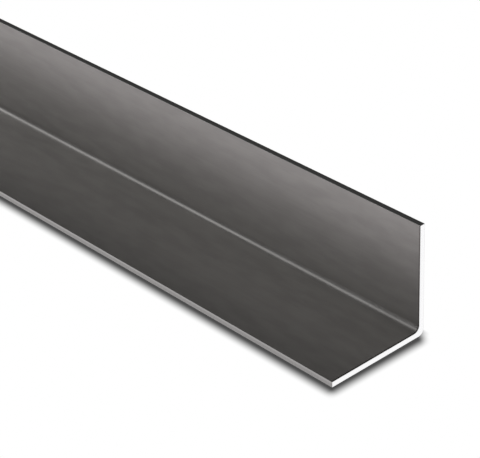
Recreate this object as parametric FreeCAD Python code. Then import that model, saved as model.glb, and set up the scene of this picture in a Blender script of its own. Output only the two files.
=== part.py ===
import FreeCAD, Part
import math
import os

# Equal-leg metal angle: one length of thin stock with one bend. It lies on one leg, and the other leg stands
# at its +Y side. Millimetres. X runs along the length, Z is up, and the origin is under the middle of the
# part, on the surface that it lies on.

# Driving dimensions.
stock_length = 1000.0
base_leg_width = 40.0
standing_leg_height = 40.0
wall_thickness = 2.0
inside_bend_radius = 2.2
outside_bend_radius = 2.0
toe_edge_radius = 0.25
end_edge_break = 0.1


def arc_between(start, end, centre, radius):
    """The short arc from start to end about centre."""
    towards_middle = (start + end) * 0.5 - centre
    middle = centre + towards_middle.normalize() * radius
    return Part.Arc(start, middle, end).toShape()


def rounded_outline(corners):
    """A closed outline with straight sides. corners holds each corner's place and the radius it is rounded to."""
    arcs = []
    for number, (corner, radius) in enumerate(corners):
        before = (corners[number - 1][0] - corner).normalize()
        after = (corners[(number + 1) % len(corners)][0] - corner).normalize()
        half_angle = before.getAngle(after) / 2
        set_back = radius / math.tan(half_angle)
        centre = corner + (before + after).normalize() * (radius / math.sin(half_angle))
        arcs.append(arc_between(corner + before * set_back, corner + after * set_back, centre, radius))
    edges = []
    for number, arc in enumerate(arcs):
        following = arcs[(number + 1) % len(arcs)]
        edges.append(arc)
        edges.append(Part.LineSegment(arc.lastVertex().Point, following.firstVertex().Point).toShape())
    return Part.Wire(edges)


def angle_profile(x):
    """The section across the stock at x: the base leg's toe at -Y, and the heel at +Y on the surface it lies on."""
    toe_y = -base_leg_width / 2
    heel_y = base_leg_width / 2
    inner_y = heel_y - wall_thickness

    def at(y, z):
        return FreeCAD.Vector(x, y, z)

    outline = rounded_outline([
        (at(toe_y, 0), toe_edge_radius),
        (at(heel_y, 0), outside_bend_radius),
        (at(heel_y, standing_leg_height), toe_edge_radius),
        (at(inner_y, standing_leg_height), toe_edge_radius),
        (at(inner_y, wall_thickness), inside_bend_radius),
        (at(toe_y, wall_thickness), toe_edge_radius),
    ])
    return Part.Face(outline)


def with_burrs_removed(stock):
    """Breaks the sharp edge all round both cut ends, the only faces that look along the stock."""
    end_edges = []
    for face in stock.Faces:
        along = abs(face.normalAt(0, 0).x)
        if along > 0.5:
            end_edges.extend(face.Edges)
    return stock.makeChamfer(end_edge_break, end_edges)


def angle_section():
    """The section run along the whole length, with both ends cut square and deburred."""
    stock = angle_profile(-stock_length / 2).extrude(FreeCAD.Vector(stock_length, 0, 0))
    return with_burrs_removed(stock)


os.makedirs("parts", exist_ok=True)
angle_section().exportStep("parts/angle_section.step")
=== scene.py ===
import math

import bpy
from mathutils import Matrix, Vector


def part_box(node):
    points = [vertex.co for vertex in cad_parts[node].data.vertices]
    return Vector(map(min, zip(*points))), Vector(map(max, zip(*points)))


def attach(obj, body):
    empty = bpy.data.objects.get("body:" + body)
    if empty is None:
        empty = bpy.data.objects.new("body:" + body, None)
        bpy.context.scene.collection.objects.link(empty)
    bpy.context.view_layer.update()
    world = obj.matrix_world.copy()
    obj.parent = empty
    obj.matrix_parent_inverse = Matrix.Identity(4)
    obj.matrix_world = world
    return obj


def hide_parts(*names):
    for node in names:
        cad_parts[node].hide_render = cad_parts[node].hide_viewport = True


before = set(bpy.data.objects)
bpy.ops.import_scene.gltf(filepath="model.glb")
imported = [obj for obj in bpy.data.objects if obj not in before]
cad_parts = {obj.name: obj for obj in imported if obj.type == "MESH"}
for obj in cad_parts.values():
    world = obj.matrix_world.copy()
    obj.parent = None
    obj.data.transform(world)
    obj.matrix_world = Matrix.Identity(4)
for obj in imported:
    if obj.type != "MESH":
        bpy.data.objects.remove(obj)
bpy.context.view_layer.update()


# The angle section: one strip of cold-rolled steel, formed along its length into two equal legs at a right
# angle. Its broad faces keep the mill's dark rolled skin, its two long toe edges are where the strip was slit
# from the coil, and its ends are sawn square and bare.
MM = 0.001
node_low, node_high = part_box("angle_section")
stock_length = node_high.x - node_low.x
base_leg = node_high.y - node_low.y
standing_leg = node_high.z - node_low.z
wall = 2.0 * MM
inside_bend = 2.2 * MM
outside_bend = 2.0 * MM
toe_edge = 0.1 * MM
end_edge = 0.1 * MM


def add(tree, kind, inputs=None, **settings):
    """Adds one node. inputs gives each input, by name or number, a value, another node's output, or another
    node, whose first output in use is then taken.

    By number, a Map Range reads from 1 to 2 and gives 3 to 4, and a colour Mix goes from 6 to 7.
    """
    node = tree.nodes.new(kind)
    for name, value in settings.items():
        setattr(node, name, value)
    for key, value in (inputs or {}).items():
        if isinstance(value, bpy.types.Node):
            value = next(output for output in value.outputs if output.enabled)
        if isinstance(value, bpy.types.NodeSocket):
            tree.links.new(value, node.inputs[key])
        else:
            node.inputs[key].default_value = value
    return node


def colour(hex_code):
    """An sRGB hex colour as the linear RGBA that Blender's sockets take."""
    channels = [int(hex_code[i:i + 2], 16) / 255 for i in (1, 3, 5)]
    linear = [c / 12.92 if c <= 0.04045 else ((c + 0.055) / 1.055) ** 2.4 for c in channels]
    return (*linear, 1.0)


def bare_material(name):
    """A new material with no node, and its tree."""
    material = bpy.data.materials.new(name)
    material.use_nodes = True
    material.node_tree.nodes.clear()
    return material, material.node_tree


def streaks(tree, across, along, detail):
    """Noise on the strip as it lay flat before forming, in patches of this size across it and along it."""
    strip = add(tree, "ShaderNodeUVMap", uv_map="strip")
    laid = add(tree, "ShaderNodeMapping", {"Vector": strip, "Scale": (1 / across, 1 / along, 1)})
    return add(tree, "ShaderNodeTexNoise", {"Vector": laid, "Scale": 1.0, "Detail": detail},
               noise_dimensions="2D")


def rolled_skin():
    """Cold-rolled steel with its mill skin: dark grey, and duller across the rolling direction than along it.

    The eye sees faint lines along the stock, a soft mottle, and slow clouds that are duller in places. Real
    rolling lines are some 0.03 mm apart, too fine to show, so they are drawn 0.4 mm apart. The saw leaves a
    dark line along the cut.
    """
    material, tree = bare_material("cold_rolled_steel_mill_skin")
    lines = streaks(tree, across=0.4 * MM, along=70 * MM, detail=2.0)
    mottle = streaks(tree, across=4 * MM, along=14 * MM, detail=3.0)
    clouds = streaks(tree, across=12 * MM, along=90 * MM, detail=3.0)
    dark, light = colour("#9a9896"), colour("#a9a7a5")
    noise_low, noise_high = 0.25, 0.75
    least_mottled, most_mottled = 0.3, 0.7
    lined = add(tree, "ShaderNodeMix", {0: lines, 6: dark, 7: light}, data_type="RGBA")
    patches = add(tree, "ShaderNodeMapRange", {0: mottle, 1: noise_low, 2: noise_high},
                  interpolation_type="SMOOTHSTEP")
    mottled = add(tree, "ShaderNodeMix", {0: patches, 6: dark, 7: light}, data_type="RGBA")
    clouded = add(tree, "ShaderNodeMapRange",
                  {0: clouds, 1: noise_low, 2: noise_high, 3: least_mottled, 4: most_mottled},
                  interpolation_type="SMOOTHSTEP")
    skin = add(tree, "ShaderNodeMix", {0: clouded, 6: lined, 7: mottled}, data_type="RGBA")

    # The line is at its darkest on the base leg, and fades a little up the standing leg's first wall widths.
    dark_line, fade = 0.4 * MM, 0.15 * MM
    fades_up_to, darkness_up_there = 3 * wall, 0.62
    line_start = stock_length / 2 - dark_line
    object_place = add(tree, "ShaderNodeTexCoord").outputs["Object"]
    place = add(tree, "ShaderNodeSeparateXYZ", {0: object_place}).outputs
    from_middle = add(tree, "ShaderNodeMath", {0: place["X"]}, operation="ABSOLUTE")
    at_cut = add(tree, "ShaderNodeMapRange", {0: from_middle, 1: line_start - fade, 2: line_start})
    by_height = add(tree, "ShaderNodeMapRange",
                    {0: place["Z"], 1: wall, 2: fades_up_to, 3: 1.0, 4: darkness_up_there})
    darkening = add(tree, "ShaderNodeMath", {0: at_cut, 1: by_height}, operation="MULTIPLY")
    tone = add(tree, "ShaderNodeMix", {0: darkening, 6: skin, 7: colour("#565452")}, data_type="RGBA")

    cloud_low, cloud_high = 0.2, 0.8
    smoothest, dullest = 0.33, 0.39
    line_depth = 0.002 * MM
    metal = add(tree, "ShaderNodeBsdfPrincipled", {
        "Base Color": tone,
        "Metallic": 1.0,
        "Roughness": add(tree, "ShaderNodeMapRange",
                         {0: clouds, 1: cloud_low, 2: cloud_high, 3: smoothest, 4: dullest}),
        "Anisotropic": 0.4,
        "Tangent": add(tree, "ShaderNodeTangent", direction_type="UV_MAP", uv_map="strip"),
        "Normal": add(tree, "ShaderNodeBump", {"Height": lines, "Strength": 0.15, "Distance": line_depth}),
    })
    add(tree, "ShaderNodeOutputMaterial", {"Surface": metal})
    return material


def slit_edge():
    """The slit edge of the strip, sheared bare steel.

    The knife burnishes the part of the wall that it enters, here the third at the inner face, and tears the
    rest, which is duller and has fine marks across it, some 0.5 mm apart.
    """
    material, tree = bare_material("slit_steel_edge")
    tear_end, burnish_start = 0.6 * wall, 0.75 * wall
    torn_roughness, burnished_roughness = 0.38, 0.3
    outer_face = standing_leg - base_leg / 2
    strip = add(tree, "ShaderNodeUVMap", uv_map="strip")
    around = add(tree, "ShaderNodeSeparateXYZ", {0: strip}).outputs["X"]
    burnished = add(tree, "ShaderNodeMapRange",
                    {0: around, 1: outer_face + tear_end, 2: outer_face + burnish_start})
    tears = streaks(tree, across=3 * MM, along=0.5 * MM, detail=2.0)
    dark, light, brightest = colour("#8d8d8b"), colour("#9f9f9d"), colour("#a5a5a3")
    torn = add(tree, "ShaderNodeMix", {0: tears, 6: dark, 7: light}, data_type="RGBA")
    tone = add(tree, "ShaderNodeMix", {0: burnished, 6: torn, 7: brightest}, data_type="RGBA")
    metal = add(tree, "ShaderNodeBsdfPrincipled", {
        "Base Color": tone,
        "Metallic": 1.0,
        "Roughness": add(tree, "ShaderNodeMapRange",
                         {0: burnished, 3: torn_roughness, 4: burnished_roughness}),
    })
    add(tree, "ShaderNodeOutputMaterial", {"Surface": metal})
    return material


def sawn_end():
    """The sawn end: bright fresh-cut steel, with the saw's fine marks all leaning one way.

    Real marks are some 0.1 mm apart, and are drawn 0.3 mm apart so that they show close to.
    """
    material, tree = bare_material("sawn_steel_end")
    mark_spacing, lean = 0.3 * MM, math.radians(20)
    band_spacing_at_scale_1 = math.pi / 10
    smoothest, dullest = 0.18, 0.24
    object_place = add(tree, "ShaderNodeTexCoord").outputs["Object"]
    leaning = add(tree, "ShaderNodeMapping", {"Vector": object_place, "Rotation": (lean, 0, 0)})
    marks = add(tree, "ShaderNodeTexWave", {
        "Vector": leaning,
        "Scale": band_spacing_at_scale_1 / mark_spacing,
        "Distortion": 1.5,
        "Detail": 2.0,
    }, bands_direction="Y").outputs["Fac"]
    dark, light = colour("#f8fdfb"), colour("#fdffff")
    tone = add(tree, "ShaderNodeMix", {0: marks, 6: dark, 7: light}, data_type="RGBA")
    metal = add(tree, "ShaderNodeBsdfPrincipled", {
        "Base Color": tone,
        "Metallic": 1.0,
        "Roughness": add(tree, "ShaderNodeMapRange", {0: marks, 3: smoothest, 4: dullest}),
    })
    add(tree, "ShaderNodeOutputMaterial", {"Surface": metal})
    return material


def angle_tree():
    """The section's outline, rounded at its corners, filled and run along the length."""
    arc_steps, touching, square_on = 12, 0.001 * MM, 0.5
    tree = bpy.data.node_groups.new("rolled_angle", "GeometryNodeTree")
    sizes = ("Length", "Base leg", "Standing leg", "Wall", "Inside bend", "Outside bend", "Toe edge")
    for name in sizes:
        tree.interface.new_socket(name, in_out="INPUT", socket_type="NodeSocketFloat")
    for name in ("Skin", "Slit edge", "Sawn end"):
        tree.interface.new_socket(name, in_out="INPUT", socket_type="NodeSocketMaterial")
    tree.interface.new_socket("Stock", in_out="OUTPUT", socket_type="NodeSocketGeometry")
    given = add(tree, "NodeGroupInput").outputs

    toe = add(tree, "ShaderNodeMath", {0: given["Base leg"], 1: -0.5}, operation="MULTIPLY")
    heel = add(tree, "ShaderNodeMath", {0: given["Base leg"], 1: 0.5}, operation="MULTIPLY")
    inner = add(tree, "ShaderNodeMath", {0: heel, 1: given["Wall"]}, operation="SUBTRACT")
    corners = [
        (toe, 0.0, given["Toe edge"]),
        (heel, 0.0, given["Outside bend"]),
        (heel, given["Standing leg"], given["Toe edge"]),
        (inner, given["Standing leg"], given["Toe edge"]),
        (inner, given["Wall"], given["Inside bend"]),
        (toe, given["Wall"], given["Toe edge"]),
    ]
    index = add(tree, "GeometryNodeInputIndex")
    places = add(tree, "GeometryNodeIndexSwitch", {"Index": index}, data_type="VECTOR")
    radii = add(tree, "GeometryNodeIndexSwitch", {"Index": index}, data_type="FLOAT")
    while len(places.index_switch_items) < len(corners):
        places.index_switch_items.new()
        radii.index_switch_items.new()
    for number, (across, up, radius) in enumerate(corners):
        point = add(tree, "ShaderNodeCombineXYZ", {0: across, 1: up})
        tree.links.new(point.outputs[0], places.inputs[number + 1])
        tree.links.new(radius, radii.inputs[number + 1])

    line = add(tree, "GeometryNodeMeshLine", {"Count": len(corners)})
    outline = add(tree, "GeometryNodeMeshToCurve", {"Mesh": line})
    placed = add(tree, "GeometryNodeSetPosition", {"Geometry": outline, "Position": places})
    closed = add(tree, "GeometryNodeSetSplineCyclic", {"Geometry": placed, "Cyclic": True})
    rounded = add(tree, "GeometryNodeFilletCurve", {"Curve": closed, "Count": arc_steps, "Radius": radii},
                  mode="POLY")
    face = add(tree, "GeometryNodeFillCurve", {"Curve": rounded}, mode="NGONS")
    back = add(tree, "ShaderNodeMath", {0: given["Length"], 1: -0.5}, operation="MULTIPLY")
    stood = add(tree, "GeometryNodeTransform", {
        "Geometry": face,
        "Translation": add(tree, "ShaderNodeCombineXYZ", {0: back}),
        "Rotation": (math.pi / 2, 0, math.pi / 2),
    })
    run = add(tree, "GeometryNodeExtrudeMesh", {
        "Mesh": stood,
        "Offset": (1, 0, 0),
        "Offset Scale": given["Length"],
        "Individual": False,
    }, mode="FACES")
    start = add(tree, "GeometryNodeFlipFaces", {"Mesh": stood})
    joined = add(tree, "GeometryNodeJoinGeometry")
    tree.links.new(start.outputs[0], joined.inputs[0])
    tree.links.new(run.outputs[0], joined.inputs[0])
    solid = add(tree, "GeometryNodeMergeByDistance", {"Geometry": joined, "Distance": touching})

    position = add(tree, "ShaderNodeSeparateXYZ", {0: add(tree, "GeometryNodeInputPosition")}).outputs
    facing = add(tree, "ShaderNodeSeparateXYZ", {0: add(tree, "GeometryNodeInputNormal")}).outputs
    around = add(tree, "ShaderNodeMath", {0: position["Z"], 1: position["Y"]}, operation="SUBTRACT")
    flat = add(tree, "ShaderNodeCombineXYZ", {0: around, 1: position["X"]})
    mapped = add(tree, "GeometryNodeStoreNamedAttribute", {"Geometry": solid, "Name": "strip", "Value": flat},
                 data_type="FLOAT2", domain="CORNER")
    smooth = add(tree, "GeometryNodeSetShadeSmooth", {"Geometry": mapped})
    skinned = add(tree, "GeometryNodeSetMaterial", {"Geometry": smooth, "Material": given["Skin"]})
    top = add(tree, "ShaderNodeMath", {0: given["Standing leg"], 1: given["Toe edge"]}, operation="SUBTRACT")
    side = add(tree, "ShaderNodeMath", {0: toe, 1: given["Toe edge"]}, operation="ADD")
    above = add(tree, "ShaderNodeMath", {0: position["Z"], 1: top}, operation="GREATER_THAN")
    beside = add(tree, "ShaderNodeMath", {0: position["Y"], 1: side}, operation="LESS_THAN")
    at_toe = add(tree, "ShaderNodeMath", {0: above, 1: beside}, operation="MAXIMUM")
    edged = add(tree, "GeometryNodeSetMaterial",
                {"Geometry": skinned, "Selection": at_toe, "Material": given["Slit edge"]})
    along = add(tree, "ShaderNodeMath", {0: facing["X"]}, operation="ABSOLUTE")
    at_end = add(tree, "ShaderNodeMath", {0: along, 1: square_on}, operation="GREATER_THAN")
    ended = add(tree, "GeometryNodeSetMaterial",
                {"Geometry": edged, "Selection": at_end, "Material": given["Sawn end"]})
    whole = add(tree, "GeometryNodeRealizeInstances", {"Geometry": ended})
    add(tree, "NodeGroupOutput", {0: whole})
    return tree


def made_plain(piece):
    """Replaces a piece's live modifiers with the mesh that they give."""
    depsgraph = bpy.context.evaluated_depsgraph_get()
    mesh = bpy.data.meshes.new_from_object(piece.evaluated_get(depsgraph), preserve_all_data_layers=True,
                                           depsgraph=depsgraph)
    piece.modifiers.clear()
    piece.data = mesh


stock = bpy.data.objects.new("steel_angle", bpy.data.meshes.new("steel_angle"))
bpy.context.scene.collection.objects.link(stock)
section_tree = angle_tree()
formed = stock.modifiers.new("formed", "NODES")
formed.node_group = section_tree
chosen = {
    "Length": stock_length,
    "Base leg": base_leg,
    "Standing leg": standing_leg,
    "Wall": wall,
    "Inside bend": inside_bend,
    "Outside bend": outside_bend,
    "Toe edge": toe_edge,
    "Skin": rolled_skin(),
    "Slit edge": slit_edge(),
    "Sawn end": sawn_end(),
}
for socket in section_tree.interface.items_tree:
    if socket.name in chosen:
        formed[socket.identifier] = chosen[socket.name]
deburred = stock.modifiers.new("deburred", "BEVEL")
deburred.limit_method = "ANGLE"
deburred.angle_limit = math.radians(60)
deburred.width = end_edge
deburred.segments = 2
levelled = stock.modifiers.new("levelled", "WEIGHTED_NORMAL")
levelled.mode = "FACE_AREA"
levelled.weight = 100
levelled.keep_sharp = True
made_plain(stock)

# The broken edge round each sawn face belongs to the skin's dark line.
skin_slot = stock.data.materials.find("cold_rolled_steel_mill_skin")
sawn_slot = stock.data.materials.find("sawn_steel_end")
squarest_break = 0.95
for face in stock.data.polygons:
    if face.material_index == sawn_slot and abs(face.normal.x) < squarest_break:
        face.material_index = skin_slot
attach(stock, "root")
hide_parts("angle_section")


# The table: a plain flat top of white laminate. Round the stock's foot the camera sees a soft dark painted
# shadow, drawn from the stock's box, not cast. The steel mirrors it as a very slightly rosy white, painted a
# little dimmer beside the near end of the stock.
def painted_foot_shadow(tree, along, across):
    """How far into the painted shadow each place is, from 0 to 1.

    The shadow is painted as if the light came from behind and from the left, so it starts short of the heel
    and of the far end.
    It reaches past the toe and past the near end, a little further towards the heel, and its back corner is
    cut off at a slant.
    """
    past_toe, past_near_end, short_of_heel, softness = 2.9 * MM, 3.0 * MM, 0.45 * MM, 2.4 * MM
    corner_slant, near_side_slant = 0.64, 0.016
    toe_side = node_low.y - past_toe
    heel_side = node_high.y - short_of_heel
    far_side = node_low.x + short_of_heel
    near_side = node_high.x + past_near_end
    past_cut = add(tree, "ShaderNodeMath", {0: along, 1: node_high.x}, operation="SUBTRACT")
    beyond = add(tree, "ShaderNodeMath", {0: past_cut, 1: 0.0}, operation="MAXIMUM")
    slanted = add(tree, "ShaderNodeMath", {0: beyond, 1: corner_slant, 2: across}, operation="MULTIPLY_ADD")
    turned = add(tree, "ShaderNodeMath", {0: across, 1: -near_side_slant, 2: along}, operation="MULTIPLY_ADD")
    shade = 1.0
    for measure, lit, shaded in (
        (across, toe_side - softness, toe_side + softness),
        (slanted, heel_side + softness, heel_side - softness),
        (along, far_side - softness, far_side + softness),
        (turned, near_side + softness, near_side - softness),
    ):
        inside = add(tree, "ShaderNodeMapRange", {0: measure, 1: lit, 2: shaded},
                     interpolation_type="SMOOTHSTEP")
        shade = add(tree, "ShaderNodeMath", {0: shade, 1: inside}, operation="MULTIPLY")
    return shade


def matt_laminate():
    """White laminate with a matt pressed face and no gloss of its own, even white but for a painted shadow.
    """
    material, tree = bare_material("matt_white_laminate")
    ray = add(tree, "ShaderNodeLightPath").outputs
    object_place = add(tree, "ShaderNodeTexCoord").outputs["Object"]
    place = add(tree, "ShaderNodeSeparateXYZ", {0: object_place}).outputs
    along, across = place["X"], place["Y"]

    # To the camera the table glows white, darkened by the painted foot shadow and by a painted contact shade
    # worked out from ambient occlusion round the stock.
    darkest = 0.072
    contact_reach, contact_depth = 2.5 * MM, 1.5
    shaded = add(tree, "ShaderNodeMapRange", {0: painted_foot_shadow(tree, along, across), 3: 1.0, 4: darkest})
    openness = add(tree, "ShaderNodeAmbientOcclusion", {"Distance": contact_reach}, samples=16).outputs["AO"]
    contact = add(tree, "ShaderNodeMath", {0: openness, 1: contact_depth}, operation="POWER")
    seen_light = add(tree, "ShaderNodeMath", {0: shaded, 1: contact}, operation="MINIMUM")
    seen = add(tree, "ShaderNodeEmission", {"Strength": seen_light})

    # The white that the steel mirrors is painted a little dimmer beside the near end of the stock, as a
    # fall-off of light.
    dimming_start, dimmest_from, dimming_end, dullest = 300 * MM, 50 * MM, 10 * MM, 0.93
    cut = node_high.x
    beside = add(tree, "ShaderNodeMapRange",
                 {0: along, 1: cut - dimming_start, 2: cut - dimmest_from, 3: 1.0, 4: dullest})
    beyond = add(tree, "ShaderNodeMapRange", {0: along, 1: cut - dimming_end, 2: cut, 3: dullest, 4: 1.0})
    mirrored_light = add(tree, "ShaderNodeMath", {0: beside, 1: beyond}, operation="MAXIMUM")
    mirrored = add(tree, "ShaderNodeEmission", {"Color": colour("#fffbfd"), "Strength": mirrored_light})

    matt = add(tree, "ShaderNodeBsdfDiffuse", {"Color": colour("#e8e8e8")})
    glossy = add(tree, "ShaderNodeMath", {0: ray["Is Glossy Ray"], 1: ray["Is Transmission Ray"]},
                 operation="MAXIMUM")
    others = add(tree, "ShaderNodeMixShader", {0: glossy, 1: matt, 2: mirrored})
    whole = add(tree, "ShaderNodeMixShader", {0: ray["Is Camera Ray"], 1: others, 2: seen})
    add(tree, "ShaderNodeOutputMaterial", {"Surface": whole})
    return material


table_reach = 6.0
table_corners = [(-table_reach, -table_reach, 0), (table_reach, -table_reach, 0),
                 (table_reach, table_reach, 0), (-table_reach, table_reach, 0)]
table_mesh = bpy.data.meshes.new("table")
table_mesh.from_pydata(table_corners, [], [(0, 1, 2, 3)])
table_mesh.materials.append(matt_laminate())
table = bpy.data.objects.new("table", table_mesh)
bpy.context.scene.collection.objects.link(table)

# The room: white to the camera and through glass, and dim where it lights the steel and the steel mirrors it,
# as in the photograph. High up beyond the near end it is lighter, so that faces turned that way aren't black.
world = bpy.data.worlds.new("studio")
bpy.context.scene.world = world
world.use_nodes = True
room = world.node_tree
room.nodes.clear()
dim, lighter = 0.08, 0.4
cosine_at_edge, cosine_at_core = 0.3, 0.95
lighter_azimuth, lighter_elevation = math.radians(-15), math.radians(50)
lighter_way = Vector((math.cos(lighter_azimuth) * math.cos(lighter_elevation),
                      math.sin(lighter_azimuth) * math.cos(lighter_elevation), math.sin(lighter_elevation)))
looked_at = add(room, "ShaderNodeTexCoord").outputs["Generated"]
nearness = add(room, "ShaderNodeVectorMath", {0: looked_at, 1: lighter_way}, operation="DOT_PRODUCT")
unseen = add(room, "ShaderNodeMapRange",
             {0: nearness.outputs["Value"], 1: cosine_at_edge, 2: cosine_at_core, 3: dim, 4: lighter},
             interpolation_type="SMOOTHSTEP")
ray = add(room, "ShaderNodeLightPath").outputs
seen_white = add(room, "ShaderNodeMath", {0: ray["Is Camera Ray"], 1: ray["Is Transmission Ray"]},
                 operation="MAXIMUM")
level = add(room, "ShaderNodeMapRange", {0: seen_white, 3: unseen, 4: 1.0})
glow = add(room, "ShaderNodeBackground", {"Color": (1, 1, 1, 1), "Strength": level})
add(room, "ShaderNodeOutputWorld", {"Surface": glow})


# The soft boxes: flat panels of even light, out of the camera's sight, turned to a place short of the near
# end. The key box and the low box make the sheen on both legs and in the bend, the side box softens the near
# end of the standing leg, and the end box lights the sawn end.
lit_place = Vector((node_high.x - 100 * MM, 0, 0))


def soft_box(name, azimuth, elevation, distance, width, height, radiance):
    """A panel in metres. Azimuth is in degrees from +X towards +Y, and radiance is how bright it looks."""
    around, up = math.radians(azimuth), math.radians(elevation)
    outwards = Vector((math.cos(up) * math.cos(around), math.cos(up) * math.sin(around), math.sin(up)))
    panel = bpy.data.lights.new(name, "AREA")
    panel.shape = "RECTANGLE"
    panel.size = width
    panel.size_y = height
    panel.energy = radiance * math.pi * width * height
    lamp = bpy.data.objects.new(name, panel)
    bpy.context.scene.collection.objects.link(lamp)
    lamp.location = lit_place + outwards * distance
    lamp.rotation_euler = outwards.to_track_quat("Z", "Y").to_euler()
    lamp.visible_camera = False


soft_box("key_box", azimuth=217.5, elevation=36, distance=1.6, width=0.85, height=0.74, radiance=0.89)
soft_box("low_box", azimuth=190, elevation=24, distance=1.0, width=0.31, height=0.18, radiance=3.5)
soft_box("side_box", azimuth=285, elevation=12, distance=0.6, width=0.7, height=0.22, radiance=1.9)
soft_box("end_box", azimuth=41.5, elevation=11, distance=1.2, width=1.6, height=0.45, radiance=3.0)

# The camera, at the photograph's place, looking down along the stock through a long lens. Its eye is given in
# leg widths from the foot of the near end's heel.
near_heel = Vector((node_high.x, node_high.y, node_low.z))
eye = near_heel + base_leg * Vector((8.7408, -9.5848, 8.7527))
ahead = Vector((-0.64238, 0.56817, -0.51432)).normalized()
photo_up = Vector((-0.35782, 0.37111, 0.85688))
right = ahead.cross(photo_up).normalized()
upright = right.cross(ahead)
camera_data = bpy.data.cameras.new("camera")
camera_data.sensor_width = 36.0
camera_data.lens = 150.38
camera_data.clip_start = 0.01
camera = bpy.data.objects.new("camera", camera_data)
bpy.context.scene.collection.objects.link(camera)
camera.matrix_world = Matrix((right, upright, -ahead)).transposed().to_4x4()
camera.location = eye
bpy.context.scene.camera = camera

bpy.context.scene.view_settings.view_transform = "Standard"
